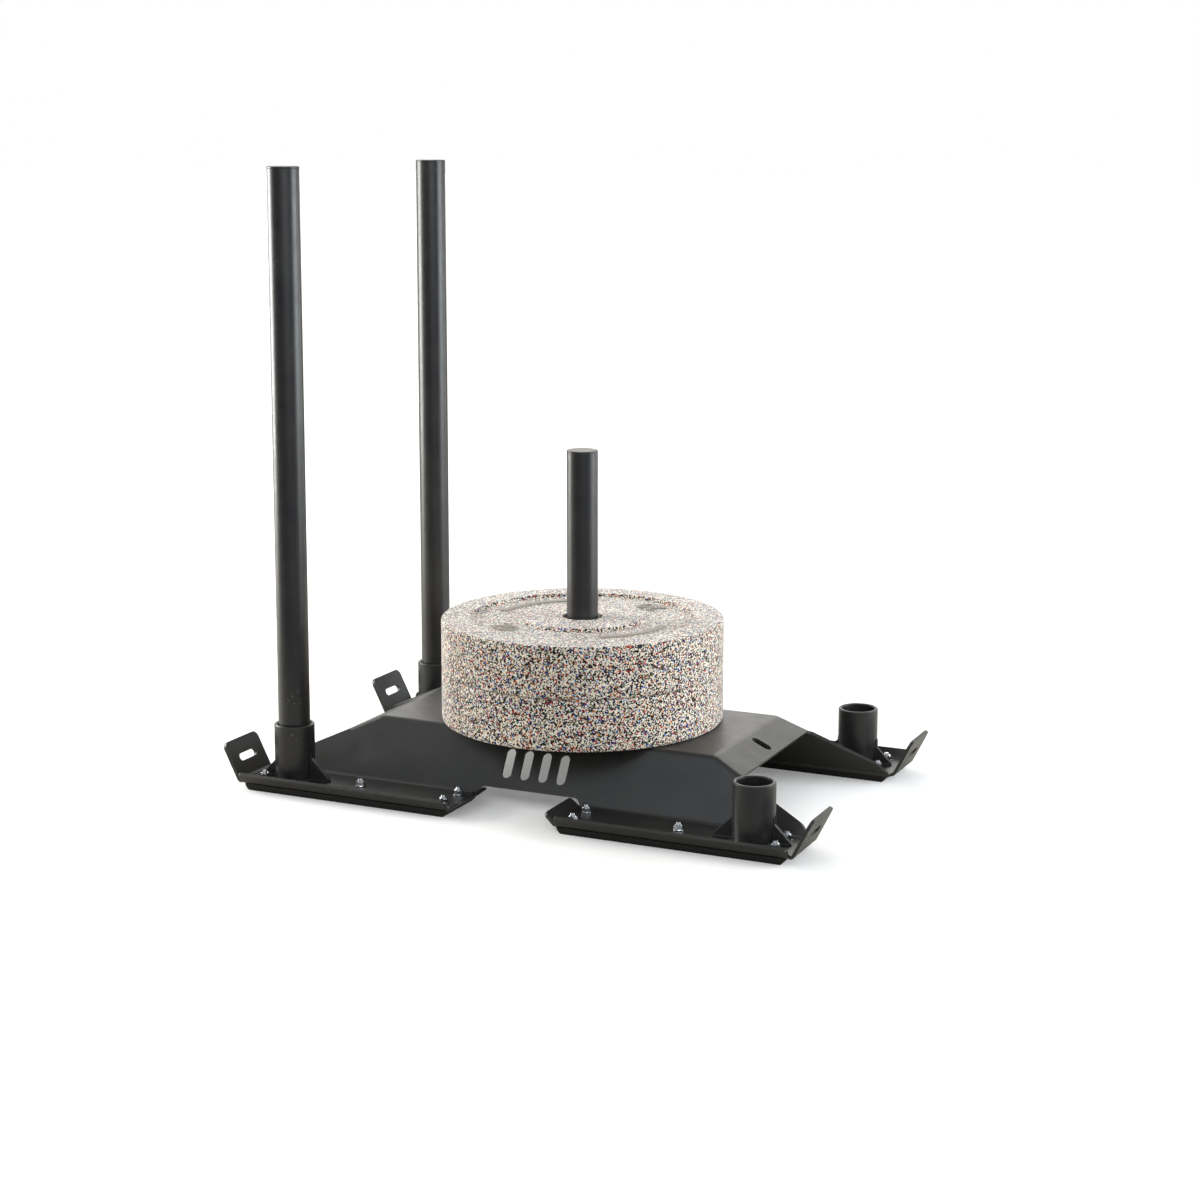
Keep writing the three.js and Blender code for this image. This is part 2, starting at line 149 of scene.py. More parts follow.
def apply(piece, kind, **settings):
    choose(piece)
    modifier = piece.modifiers.new(kind.lower(), kind)
    for name, value in settings.items():
        setattr(modifier, name, value)
    bpy.ops.object.modifier_apply(modifier=modifier.name)


def thicken(piece, sheet):
    apply(piece, "SOLIDIFY", thickness=sheet * mm, offset=-1, use_even_offset=True)


def soften(piece, width, steps=2, angle=35):
    apply(piece, "BEVEL", width=width * mm, segments=steps, limit_method="ANGLE",
          angle_limit=math.radians(angle), use_clamp_overlap=True)


def cutWith(piece, tool, how="DIFFERENCE"):
    apply(piece, "BOOLEAN", operation=how, object=tool, solver="EXACT")
    bpy.data.objects.remove(tool)


def place(piece, x=0, y=0, z=0, tilt=(0, 0, 0), scale=(1, 1, 1)):
    choose(piece)
    piece.rotation_euler = [math.radians(a) for a in tilt]
    piece.scale = scale
    piece.location = Vector((x, y, z)) * mm
    bpy.ops.object.transform_apply(location=True, rotation=True, scale=True)
    if scale[0] * scale[1] * scale[2] < 0:
        faceOutwards(piece)
    return piece


def copyOf(piece):
    choose(piece)
    bpy.ops.object.duplicate(linked=False)
    return bpy.context.object


def joinAll(pieces):
    choose(pieces[0])
    for other in pieces[1:]:
        other.select_set(True)
    bpy.ops.object.join()
    return pieces[0]


def settle(piece, name, finish, body="base", nodes=(), angle=38):
    # last touches: shading, name, finish, and what it rides on and stands for
    choose(piece)
    bpy.ops.object.transform_apply(location=True, rotation=True, scale=True)
    bpy.ops.object.shade_smooth_by_angle(angle=math.radians(angle))
    apply(piece, "WEIGHTED_NORMAL", keep_sharp=True)
    piece.name = piece.data.name = name
    piece.data.materials.clear()
    piece.data.materials.append(finish)
    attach(piece, body)
    if nodes:
        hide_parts(*nodes)
    return piece


quarters = [("front_left", 1, 1), ("front_right", 1, -1), ("rear_left", -1, 1), ("rear_right", -1, -1)]


def settleFeet(piece, name, finish, nodes=""):
    # the front left foot's piece, after a mirrored or turned copy for each of the other feet
    for corner, sideX, sideY in reversed(quarters):
        copy = piece if corner == "front_left" else place(copyOf(piece), scale=(sideX, sideY, 1))
        settle(copy, name + "_" + corner, finish, "base", [nodes % corner] if nodes else ())


def turned(profile, sides, closed=False):
    # a ring drawn up, in and out through (radius, height) points; a closed profile ends where it starts
    radius, height = profile[0]
    bpy.ops.mesh.primitive_circle_add(vertices=sides, radius=radius * mm, location=(0, 0, height * mm))
    piece = choose(bpy.context.object)
    bpy.ops.object.transform_apply(location=True)
    startEdit(piece)
    for nextRadius, nextHeight in profile[1:]:
        pullEdges(0, 0, nextHeight - height)
        stretch(nextRadius / radius, nextRadius / radius, 1)
        radius, height = nextRadius, nextHeight
    if not closed:
        bpy.ops.mesh.select_all(action="SELECT")
        bpy.ops.mesh.fill_holes(sides=0)
    stopEdit()
    faceOutwards(piece)
    return piece


cutter = {"sides": 32, "depth": 30}


def slotTool(length, width):
    # an obround peg, long along X, to cut a slot with
    bpy.ops.mesh.primitive_cylinder_add(vertices=cutter["sides"], radius=width / 2 * mm,
                                        depth=cutter["depth"] * mm)
    piece = bpy.context.object
    startEdit(piece)
    for end in (-1, 1):
        pick(piece, "verts", lambda m, v: m.x * end > 0.01)
        shift(end * (length - width) / 2, 0, 0)
    stopEdit()
    return piece


def block(low, high):
    bpy.ops.mesh.primitive_cube_add(size=1)
    piece = bpy.context.object
    size = [b - a for a, b in zip(low, high)]
    middle = [(a + b) / 2 for a, b in zip(low, high)]
    startEdit(piece)
    bpy.ops.transform.resize(value=Vector(size) * mm)
    shift(*middle)
    stopEdit()
    return piece


bead = {
    "sides": 10, "ringSides": 120, "ripple": 3.2, "step": 1.8, "fewest": 4, "rough": 0.3, "sunk": 0.8,
}
weldRipple = bpy.data.textures.new("weldRipple", "CLOUDS")
weldRipple.noise_scale = bead["ripple"] * mm


def roughen(piece, width):
    apply(piece, "DISPLACE", texture=weldRipple, strength=width * bead["rough"] * mm,
          mid_level=bead["sunk"])
    return piece


def weldLine(start, end, width):
    # a straight bead: a rod between two points, cut into short lengths and roughened
    start, end = Vector(start), Vector(end)
    run = end - start
    bpy.ops.mesh.primitive_cylinder_add(vertices=bead["sides"], radius=width / 2 * mm,
                                        depth=run.length * mm)
    piece = bpy.context.object
    startEdit(piece)
    pick(piece, "edges", lambda m, e: abs(m.z) < 0.01)
    bpy.ops.mesh.subdivide(number_cuts=max(bead["fewest"], int(run.length / bead["step"])))
    stopEdit()
    piece.rotation_mode = "QUATERNION"
    piece.rotation_quaternion = run.to_track_quat("Z", "Y")
    piece.location = (start + end) / 2 * mm
    choose(piece)
    bpy.ops.object.transform_apply(location=True, rotation=True, scale=True)
    piece.rotation_mode = "XYZ"
    return roughen(piece, width)


def weldRing(radius, width, x, y, z):
    bpy.ops.mesh.primitive_torus_add(major_radius=radius * mm, minor_radius=width / 2 * mm,
                                     major_segments=bead["ringSides"], minor_segments=bead["sides"])
    return roughen(place(bpy.context.object, x, y, z), width)


# Finishes

def colour(hexCode):
    # sRGB hex to linear
    values = [int(hexCode[i:i + 2], 16) / 255 for i in (1, 3, 5)]
    return [v / 12.92 if v <= 0.04045 else ((v + 0.055) / 1.055) ** 2.4 for v in values] + [1]


def addNode(tree, kind, inputs=(), **settings):
    node = tree.nodes.new("ShaderNode" + kind)
    for name, value in settings.items():
        setattr(node, name, value)
    for socket, value in dict(inputs).items():
        if isinstance(value, bpy.types.NodeSocket):
            tree.links.new(value, node.inputs[socket])
        else:
            node.inputs[socket].default_value = value
    return node


def startFinish(name, **settings):
    # a Principled shader, and the Object coordinates that its patterns read
    finish = bpy.data.materials.new(name)
    finish.use_nodes = True
    tree = finish.node_tree
    shader = tree.nodes["Principled BSDF"]
    for socket, value in settings.items():
        shader.inputs[socket.replace("_", " ")].default_value = value
    where = addNode(tree, "TexCoord").outputs["Object"]
    return finish, tree, shader, where


def ramp(tree, value, *stops, smooth=True):
    node = addNode(tree, "ValToRGB", {"Fac": value})
    node.color_ramp.interpolation = "LINEAR" if smooth else "CONSTANT"
    elements = node.color_ramp.elements
    for i, (at, shade) in enumerate([stops[0], stops[-1], *stops[1:-1]]):
        element = elements[i] if i < 2 else elements.new(at)
        element.position = at
        element.color = colour(shade) if isinstance(shade, str) else [shade] * 3 + [1]
    return node.outputs["Color"]


def noise(tree, where, size, detail=3, rough=0.5, distortion=0):
    # size is the pattern's grain in mm
    return addNode(tree, "TexNoise", {"Vector": where, "Scale": 1 / (size * mm), "Detail": detail,
                                      "Roughness": rough, "Distortion": distortion}).outputs["Fac"]


def drawnOut(tree, where, x=1, y=1, z=1):
    return addNode(tree, "Mapping", {"Vector": where, "Scale": (x, y, z)}).outputs[0]


def blend(tree, share, first, second, way="MIX"):
    return addNode(tree, "Mix", {0: share, 6: first, 7: second}, data_type="RGBA",
                   blend_type=way).outputs[2]


def maths(tree, way, *values):
    return addNode(tree, "Math", dict(enumerate(values)), operation=way, use_clamp=True).outputs[0]


def relief(tree, shader, height, depth):
    # depth is the relief's full height in mm
    bump = addNode(tree, "Bump", {"Height": height, "Distance": depth * mm, "Strength": 1})
    tree.links.new(bump.outputs["Normal"], shader.inputs["Normal"])


def edgeMask(tree, radius):
    # 1 on an edge and 0 on the flats, from how far a rounded normal leaves the true one
    soft = addNode(tree, "Bevel", {"Radius": radius * mm}, samples=4).outputs["Normal"]
    true = addNode(tree, "NewGeometry").outputs["Normal"]
    along = addNode(tree, "VectorMath", {0: soft, 1: true}, operation="DOT_PRODUCT").outputs["Value"]
    return ramp(tree, along, (0.90, 1.0), (0.995, 0.0))


# the pale edge colour and its share are partly rubbed paint and partly a painted highlight for the
# glints of rounded edges
powderCoat = {
    "worn": "#252523", "rubAndGlint": "#6a6865", "dust": "#474643", "scratch": "#9d9a94", "rubbedAndGlinting": 0.35,
    "grain": 1.6, "grainDepth": 0.035, "patch": 70, "scuff": 9, "dry": "#b0b0b0", "chip": 6, "gloss": 28,
    "edgeReach": 1.6, "scratchGrain": 5, "scratchGap": 6, "scratchSolid": 0.6,
}
# where the near pole and its socket are scratched, as the middle and the reach of each patch
scratches = [((-380, -257, 150), 26), ((-395, -257, 837), 12), ((-377, -263, 87), 12)]


def scratchMask(tree, where, p, patches):
    # thin broken lines, only within each patch
    lines = noise(tree, drawnOut(tree, where, 0.3, 0.3, 1.5), p["scratchGrain"], 3, 0.55, 0.6)
    lines = ramp(tree, lines, (0.475, 0.0), (0.5, 1.0), (0.525, 0.0))
    gaps = ramp(tree, noise(tree, where, p["scratchGap"], 4, 0.7), (0.54, 0.0), (0.62, 1.0))
    lines = maths(tree, "MULTIPLY", lines, gaps)
    near = 0.0
    for middle, reach in patches:
        away = addNode(tree, "VectorMath", {0: where, 1: Vector(middle) * mm},
                       operation="DISTANCE").outputs["Value"]
        patch = ramp(tree, away, (reach * p["scratchSolid"] * mm, 1.0), (reach * mm, 0.0))
        near = maths(tree, "MAXIMUM", near, patch)
    return maths(tree, "MULTIPLY", lines, near)


def powderCoatFinish(name, p, shade, roughness, scuffs, patches=()):
    # polyester powder baked on blasted steel: near black, dull sheen, with a fine orange peel that is
    # drawn twice as coarse as it is, edges paled partly by rubbing and partly by a painted highlight,
    # a few dry scuffs and, on the tubes, scratches
    finish, tree, shader, where = startFinish(name, IOR=1.5, Metallic=0)
    base = ramp(tree, noise(tree, where, p["patch"], 4, 0.6), (0.35, shade), (0.68, p["worn"]))
    broken = ramp(tree, noise(tree, where, p["chip"], 5, 0.7), (0.42, 0.0), (0.6, 1.0))
    # painted highlight: the pale edge colour stands partly for rubbed paint and partly for the glint of
    # the rounded edges
    rubbedAndGlinting = maths(tree, "MULTIPLY", edgeMask(tree, p["edgeReach"]), broken)
    rubbedAndGlinting = maths(tree, "MULTIPLY", rubbedAndGlinting, p["rubbedAndGlinting"])
    streaks = noise(tree, drawnOut(tree, where, z=0.22), p["scuff"], 8, 0.72, 0.4)
    scuffed = maths(tree, "MULTIPLY", ramp(tree, streaks, (0.62, 0.0), (0.72, 1.0)), scuffs)
    mixed = blend(tree, scuffed, base, colour(p["dust"]))
    if patches:
        mixed = blend(tree, scratchMask(tree, where, p, patches), mixed, colour(p["scratch"]))
    tree.links.new(blend(tree, rubbedAndGlinting, mixed, colour(p["rubAndGlint"])), shader.inputs["Base Color"])
    gloss = ramp(tree, noise(tree, where, p["gloss"], 5, 0.65),
                 (0.3, roughness - 0.04), (0.7, roughness + 0.05))
    tree.links.new(blend(tree, scuffed, gloss, colour(p["dry"])), shader.inputs["Roughness"])
    relief(tree, shader, noise(tree, where, p["grain"], 2, 0.5), p["grainDepth"])
    return finish


sheetCoat = powderCoatFinish("powderCoatedSheetSteel", powderCoat, "#1e1e1d", 0.4, 0.3)
tubeCoat = powderCoatFinish("powderCoatedSteelTube", powderCoat, "#18181a", 0.36, 0.3, scratches)
# the gussets' edges are paler and wider: partly worn paint, partly a painted highlight for the glint
# along each sloping edge
gussetPowderAndGlint = {**powderCoat, "rubAndGlint": "#8f9398", "rubbedAndGlinting": 0.6}
gussetCoatAndGlint = powderCoatFinish("powderCoatedGussetAndGlint", gussetPowderAndGlint, "#1e1e1d", 0.4, 0.3)
weldCoat = powderCoatFinish("powderCoatedWeld", powderCoat, "#1b1b1c", 0.4, 0.1)

runnerPlastic = {
    "black": "#080808", "grey": "#1c1c1b", "line": 1.4, "lineDepth": 0.05, "scratch": 5,
    "edgeReach": 1.2,
}


def runnerFinish(p):
    # high-density polyethylene, sawn and planed: black and waxy, with tool lines and grey scratches
    finish, tree, shader, where = startFinish("machinedPolyethylene", IOR=1.54, Metallic=0,
                                              Specular_IOR_Level=0.3)
    lines = drawnOut(tree, where, x=0.05)
    tool = noise(tree, lines, p["line"], 3, 0.6)
    scratched = ramp(tree, noise(tree, lines, p["scratch"], 9, 0.78), (0.56, 0.0), (0.68, 1.0))
    worn = maths(tree, "MAXIMUM", maths(tree, "MULTIPLY", scratched, 0.5),
                 maths(tree, "MULTIPLY", edgeMask(tree, p["edgeReach"]), 0.4))
    tree.links.new(blend(tree, worn, colour(p["black"]), colour(p["grey"])), shader.inputs["Base Color"])
    tree.links.new(ramp(tree, tool, (0.3, 0.36), (0.7, 0.52)), shader.inputs["Roughness"])
    relief(tree, shader, tool, p["lineDepth"])
    return finish


runnerBlack = runnerFinish(runnerPlastic)

zinc = {
    "bright": "#f1f4f6", "blue": "#d3dde8", "dull": "#a4abb1", "cloud": 2.5,
    "grain": 0.8, "grainDepth": 0.02,
}


def zincFinish(p):
    # zinc plate, clear passivated: silvery, faintly blue and a little cloudy
    finish, tree, shader, where = startFinish("brightZincPlate", Metallic=1)
    cloud = noise(tree, where, p["cloud"], 4, 0.6)
    tree.links.new(ramp(tree, cloud, (0.3, p["dull"]), (0.5, p["bright"]), (0.72, p["blue"])),
                   shader.inputs["Base Color"])
    tree.links.new(ramp(tree, cloud, (0.3, 0.14), (0.7, 0.06)), shader.inputs["Roughness"])
    relief(tree, shader, noise(tree, where, p["grain"], 2), p["grainDepth"])
    return finish


zincPlate = zincFinish(zinc)

lathedSteel = {"steel": "#5f5c55", "dark": "#4a4842", "cloud": 12, "ring": 1.1, "ringDepth": 0.03}


def lathedFinish(p):
    # turned mild steel under a thin film of oil: grey, with fine rings from the lathe
    finish, tree, shader, where = startFinish("turnedMildSteel", Metallic=1)
    cloud = noise(tree, where, p["cloud"], 5, 0.65)
    rings = noise(tree, drawnOut(tree, where, z=0.1), p["ring"], 3, 0.6)
    tree.links.new(ramp(tree, cloud, (0.3, p["dark"]), (0.7, p["steel"])), shader.inputs["Base Color"])
    tree.links.new(ramp(tree, rings, (0.3, 0.34), (0.7, 0.5)), shader.inputs["Roughness"])
    relief(tree, shader, rings, p["ringDepth"])
    return finish


turnedSteel = lathedFinish(lathedSteel)

crumb = {
    "size": 1.95, "warp": 0.35, "wobble": 4, "depth": 0.14, "tint": 1.2, "gloss": 9,
    "haze": 0.4, "hazeRoughness": 0.3, "skin": 0.1, "skinRoughness": 0.4,
    # each colour of crumb, and where its band of the mix starts
    "bands": [
        (0.0, "#050404"), (0.33, "#231b15"), (0.355, "#7f7466"), (0.38, "#dad1bc"), (0.48, "#efe6d2"),
        (0.68, "#fbf5e6"), (0.78, "#c6bca6"), (0.835, "#a80f1a"), (0.875, "#dd3c27"), (0.888, "#0e3a96"),
        (0.922, "#3a8ad6"), (0.941, "#176c4e"), (0.957, "#e2861f"), (0.975, "#4a2c22"),
    ],
}


def crumbFinish(p):
    # rubber granules, most of them cream or black, bound and hot pressed: speckled, matt, a little open,
    # with a thin skin of binder that pales it where it is seen at a flat angle
    finish, tree, shader, where = startFinish(
        "pressedRubberCrumb", IOR=1.5, Metallic=0, Specular_IOR_Level=0.3,
        Sheen_Weight=p["haze"], Sheen_Roughness=p["hazeRoughness"],
        Coat_Weight=p["skin"], Coat_Roughness=p["skinRoughness"])
    wobble = addNode(tree, "TexNoise", {"Vector": where, "Scale": 1 / (p["wobble"] * mm),
                                        "Detail": 2}).outputs["Color"]
    centred = addNode(tree, "VectorMath", {0: wobble, 1: (0.5, 0.5, 0.5)},
                      operation="SUBTRACT").outputs[0]
    pushed = addNode(tree, "VectorMath", {0: centred, 1: (p["warp"] * 2 * mm,) * 3},
                     operation="MULTIPLY").outputs[0]
    warped = addNode(tree, "VectorMath", {0: where, 1: pushed}, operation="ADD").outputs[0]
    cells = addNode(tree, "TexVoronoi", {"Vector": warped, "Scale": 1 / (p["size"] * mm),
                                         "Randomness": 1})
    lot = addNode(tree, "SeparateColor", {"Color": cells.outputs["Color"]}).outputs[0]
    crumbs = ramp(tree, lot, *p["bands"], smooth=False)
    tint = ramp(tree, noise(tree, where, p["tint"], 2), (0.3, "#e9e9e9"), (0.7, "#ffffff"))
    tree.links.new(blend(tree, 1.0, crumbs, tint, "MULTIPLY"), shader.inputs["Base Color"])
    gap = ramp(tree, cells.outputs["Distance"], (0.0, 1.0), (0.9, 0.0))
    tree.links.new(ramp(tree, noise(tree, where, p["gloss"], 4), (0.3, 0.55), (0.7, 0.72)),
                   shader.inputs["Roughness"])
    relief(tree, shader, gap, p["depth"])
    return finish


rubberCrumb = crumbFinish(crumb)

marking = {
    "grey": "#a59f93", "dark": "#8d877b", "cloud": 5, "gloss": 3, "grain": 1.1, "grainDepth": 0.05,
}


def markFinish(p):
    # plain grey rubber, moulded on as a low relief
    finish, tree, shader, where = startFinish("greyMouldedRubber", IOR=1.5, Metallic=0)
    cloud = noise(tree, where, p["cloud"], 5, 0.7)
    tree.links.new(ramp(tree, cloud, (0.3, p["dark"]), (0.7, p["grey"])), shader.inputs["Base Color"])
    tree.links.new(ramp(tree, noise(tree, where, p["gloss"], 3), (0.3, 0.6), (0.7, 0.78)),
                   shader.inputs["Roughness"])
    relief(tree, shader, noise(tree, where, p["grain"], 3), p["grainDepth"])
    return finish


greyRubber = markFinish(marking)

print("finishes made")


# Deck shell, folded from one sheet

deck = {
    "top": 105, "halfLength": 287, "halfWidth": 134.4, "splay": 30.5, "slope": 24.69,
    "slopeLength": 55, "foot": 15.6, "footEnd": 459, "endRise": 14, "endLean": 8,
    "archHalf": 88, "archRise": 10, "archLean": 6, "archRound": 5, "archSteps": 5,
    "sheet": 5, "bend": 5.7, "bendSteps": 8, "edge": 1.1, "hornX": 5, "hornHole": 50.1, "hornSides": 96,
    "towSlot": (34, 18), "sideSlot": (48, 17), "sideSlots": 4, "slotPitch": 31, "slotDrop": 51,
    # its tools: how far the arch's goes under the foot, half its length, and the horn hole's depth
    "archUnder": 20, "archPast": 300, "hornDepth": 40,
}


def foldDeck(d):
    slope, splay = math.radians(d["slope"]), math.tan(math.radians(d["splay"]))
    bpy.ops.mesh.primitive_plane_add(size=2)
    piece = bpy.context.object
    startEdit(piece)
    bpy.ops.transform.resize(value=(d["halfLength"] * mm, d["halfWidth"] * mm, 1))
    shift(0, 0, d["top"])

    for end in (-1, 1):  # both slopes, then their lines drawn on for the side plates to follow
        x, z, half = d["halfLength"], d["top"], d["halfWidth"]
        for run in (d["slopeLength"], d["footEnd"] - d["halfLength"]):
            pick(piece, "edges", lambda m, e: abs(m.x - end * x) < close and runsAlong(e, 1))
            drop = run * math.sin(slope)
            pullEdges(end * run * math.cos(slope), 0, -drop)
            stretch(1, (half + drop * splay) / half, 1)
            x, z, half = x + run * math.cos(slope), z - drop, half + drop * splay

    for side in (-1, 1):  # side plates, longer than they end up
        pick(piece, "edges", lambda m, e: m.y * side > 50 and runsAlong(e, 0))
        drop = d["top"] - d["foot"] + 2 * d["sheet"]
        pullEdges(0, side * drop * splay, -drop)
    slopeEnd = d["halfLength"] + d["slopeLength"] * math.cos(slope)
    pick(piece, "faces", lambda m, f: abs(m.x) > slopeEnd + 1 and abs(f.normal.z) > 0.8)
    bpy.ops.mesh.delete(type="FACE")

    pick(piece, "edges", lambda m, e: len(e.link_faces) == 2 and abs(m.x) < slopeEnd - 1 and (
        abs(m.y) > d["halfWidth"] - 1 and m.z > 90
        or abs(abs(m.x) - d["halfLength"]) < 1 and abs(m.y) < 1))
    roundEdges(d["bend"], d["bendSteps"])
    stopEdit()
    thicken(piece, d["sheet"])

    startEdit(piece)
    cutOff((0, 0, d["foot"]), (0, 0, -1))
    for end in (-1, 1):
        cutOff((end * d["footEnd"], 0, d["foot"]), (end * d["endRise"], 0, d["endLean"]))
    stopEdit()
    return piece


def deckTools(d):
    slope, splay = math.radians(d["slope"]), math.radians(d["splay"])
    tools = []
    low, rise = d["foot"] - d["archUnder"], d["archRise"] + d["archUnder"]
    wide = d["archHalf"] + d["archLean"] * d["archUnder"] / d["archRise"]
    arch = block((-wide, -d["archPast"], low), (wide, d["archPast"], low + rise))
    startEdit(arch)
    pick(arch, "verts", lambda m, v: m.z > low + 1)
    stretch((d["archHalf"] - d["archLean"]) / wide, 1, 1)
    pick(arch, "edges", lambda m, e: m.z > low + rise - 1 and runsAlong(e, 1))
    roundEdges(d["archRound"], d["archSteps"])
    stopEdit()
    tools.append(arch)

    bpy.ops.mesh.primitive_cylinder_add(vertices=d["hornSides"], radius=d["hornHole"] / 2 * mm,
                                        depth=d["hornDepth"] * mm)
    tools.append(place(bpy.context.object, d["hornX"], 0, d["top"]))

    reach = d["slopeLength"] / 2
    for end in (-1, 1):
        tools.append(place(slotTool(*d["towSlot"]), end * (d["halfLength"] + reach * math.cos(slope)), 0,
                           d["top"] - reach * math.sin(slope), (0, end * d["slope"], 0)))
    y = d["halfWidth"] + d["slotDrop"] * math.sin(splay)
    z = d["top"] - d["slotDrop"] * math.cos(splay)
    for side in (-1, 1):
        for i in range(d["sideSlots"]):
            x = (i - (d["sideSlots"] - 1) / 2) * d["slotPitch"]
            tool = place(slotTool(*d["sideSlot"]), tilt=(0, 0, 90))
            tools.append(place(tool, x, side * y, z, (side * (d["splay"] - 90), 0, 0)))
    return tools


piece = foldDeck(deck)
for tool in deckTools(deck):
    cutWith(piece, tool)
soften(piece, deck["edge"])
settle(piece, "deckShell", sheetCoat, nodes=["deck_shell"])
print("deck shell folded and cut")


# Foot pans, modelled as the front left one

pan = {
    "innerX": 89.5, "outerX": 465, "innerY": 181.26, "footY": 187.06, "flangeY": 278.66, "top": 15.3,
    "sheet": 5, "bend": 5, "bendSteps": 6, "edge": 1,
    "innerFlap": 21.8, "innerAngle": 37.5, "innerTaper": 5, "innerCorner": 6,
    "outerFlap": 62, "outerAngle": 63, "outerCorner": 11,
    "flange": 16.6, "flangeAngle": 56, "flangeFrom": 91.6, "flangeTo": 461.6, "flangeLean": (2, 0.5),
    "flangeCorner": 4, "cornerSteps": 6,
    "slot": (46, 12), "slotHeight": 31,
}
foot = {
    "x": 390.4, "y": 232.86, "floor": 15.6, "holeRadius": 4.3, "holeSides": 24,
    "bolts": [(109.5, 208.86), (109.5, 256.86), (271, 232.86), (432.5, 208.86), (432.5, 256.86)],
}


def bendWidth(radius, angle):
    return radius * math.tan(math.radians(angle) / 2)


def footPan(p):
    bpy.ops.mesh.primitive_plane_add(size=1)
    piece = bpy.context.object
    startEdit(piece)
    bpy.ops.transform.resize(value=((p["outerX"] - p["innerX"]) * mm,
                                    (p["flangeY"] - p["innerY"]) * mm, 1))
    shift((p["outerX"] + p["innerX"]) / 2, (p["flangeY"] + p["innerY"]) / 2, p["top"])
    for at, facing in (((p["flangeFrom"], 0, 0), (1, 0, 0)), ((p["flangeTo"], 0, 0), (1, 0, 0)),
                       ((0, p["footY"], 0), (0, 1, 0))):
        bpy.ops.mesh.select_all(action="SELECT")
        bpy.ops.mesh.bisect(plane_co=Vector(at) * mm, plane_no=facing)
    pick(piece, "faces", lambda m, f: m.y < p["footY"] and not p["flangeFrom"] < m.x < p["flangeTo"])
    bpy.ops.mesh.delete(type="FACE")

    def flap(edges, length, angle, x, y):
        pick(piece, "edges", edges)
        flat = length * math.cos(math.radians(angle))
        pullEdges(flat * x, flat * y, length * math.sin(math.radians(angle)))

    low = p["top"] + 1
    flap(lambda m, e: abs(m.y - p["flangeY"]) < close and p["flangeFrom"] < m.x < p["flangeTo"],
         p["flange"], p["flangeAngle"], 0, 1)
    flap(lambda m, e: abs(m.x - p["innerX"]) < close and m.z < low,
         p["innerFlap"], p["innerAngle"], -1, 0)
    flap(lambda m, e: abs(m.x - p["outerX"]) < close and m.z < low,
         p["outerFlap"], p["outerAngle"], 1, 0)

    for x, lean in ((p["flangeFrom"], p["flangeLean"][0]), (p["flangeTo"], -p["flangeLean"][1])):
        pick(piece, "verts", lambda m, v: abs(m.x - x) < close and m.y > p["flangeY"] + 1)
        shift(lean, 0, 0)
    pick(piece, "verts", lambda m, v: m.x < p["innerX"] - 1 and m.y > p["flangeY"] - 1)
    shift(0, -p["innerTaper"], 0)
    for corner, tips in ((p["flangeCorner"], lambda m, v: m.y > p["flangeY"] + 1),
                         (p["innerCorner"], lambda m, v: m.x < p["innerX"] - 1),
                         (p["outerCorner"], lambda m, v: m.x > p["outerX"] + 1)):
        pick(piece, "verts", tips)
        roundEdges(corner, p["cornerSteps"], "VERTICES")

    for bend, angle in ((lambda m, e: abs(m.y - p["flangeY"]) < close, p["flangeAngle"]),
                        (lambda m, e: abs(m.x - p["innerX"]) < close, p["innerAngle"]),
                        (lambda m, e: abs(m.x - p["outerX"]) < close, p["outerAngle"])):
        pick(piece, "edges", lambda m, e: m.z < low and len(e.link_faces) == 2 and bend(m, e))
        roundEdges(bendWidth(p["bend"], angle), p["bendSteps"])
    stopEdit()
    thicken(piece, p["sheet"])

    up = math.radians(p["outerAngle"])
    tool = place(slotTool(*p["slot"]), tilt=(0, 0, 90))
    cutWith(piece, place(tool, p["outerX"] + p["slotHeight"] * math.cos(up), foot["y"],
                         p["top"] + p["slotHeight"] * math.sin(up), (0, 180 - p["outerAngle"], 0)))
    for x, y in foot["bolts"]:
        bpy.ops.mesh.primitive_cylinder_add(vertices=foot["holeSides"], radius=foot["holeRadius"] * mm,
                                            depth=cutter["depth"] * mm)
        cutWith(piece, place(bpy.context.object, x, y, p["top"]))
    soften(piece, p["edge"])
    return piece


settleFeet(footPan(pan), "footPan", sheetCoat, "foot_pan_%s")
print("foot pans bent")


# Runners

runner = {
    "low": (90, 183.26, 0), "high": (458, 279.4, 10), "corner": 7, "cornerSteps": 8,
    "endTaper": (11, 9.4), "edge": 0.35, "edgeAngle": 25,
    "sink": [(7.8, -3), (7.8, 1.2), (4.3, 4.7), (4.3, 13)], "sinkSides": 32,
}


def runnerStrip(r):
    piece = block(r["low"], r["high"])
    startEdit(piece)
    pick(piece, "edges", lambda m, e: runsAlong(e, 2))
    roundEdges(r["corner"], r["cornerSteps"])
    middle = (r["low"][0] + r["high"][0]) / 2
    half = (r["high"][0] - r["low"][0]) / 2
    for end in (-1, 1):
        run, rise = r["endTaper"]
        cutOff((middle + end * half, 0, rise), (end * rise, 0, -run))
    stopEdit()
    faceOutwards(piece)
    for x, y in foot["bolts"]:
        cutWith(piece, place(turned(r["sink"], r["sinkSides"]), x, y, 0))
    soften(piece, r["edge"], angle=r["edgeAngle"])
    return piece


settleFeet(runnerStrip(runner), "runner", runnerBlack, "runner_%s")
print("runners cut")


# Countersunk bolts with a washer and a locking nut, one modelled and turned a little for each copy

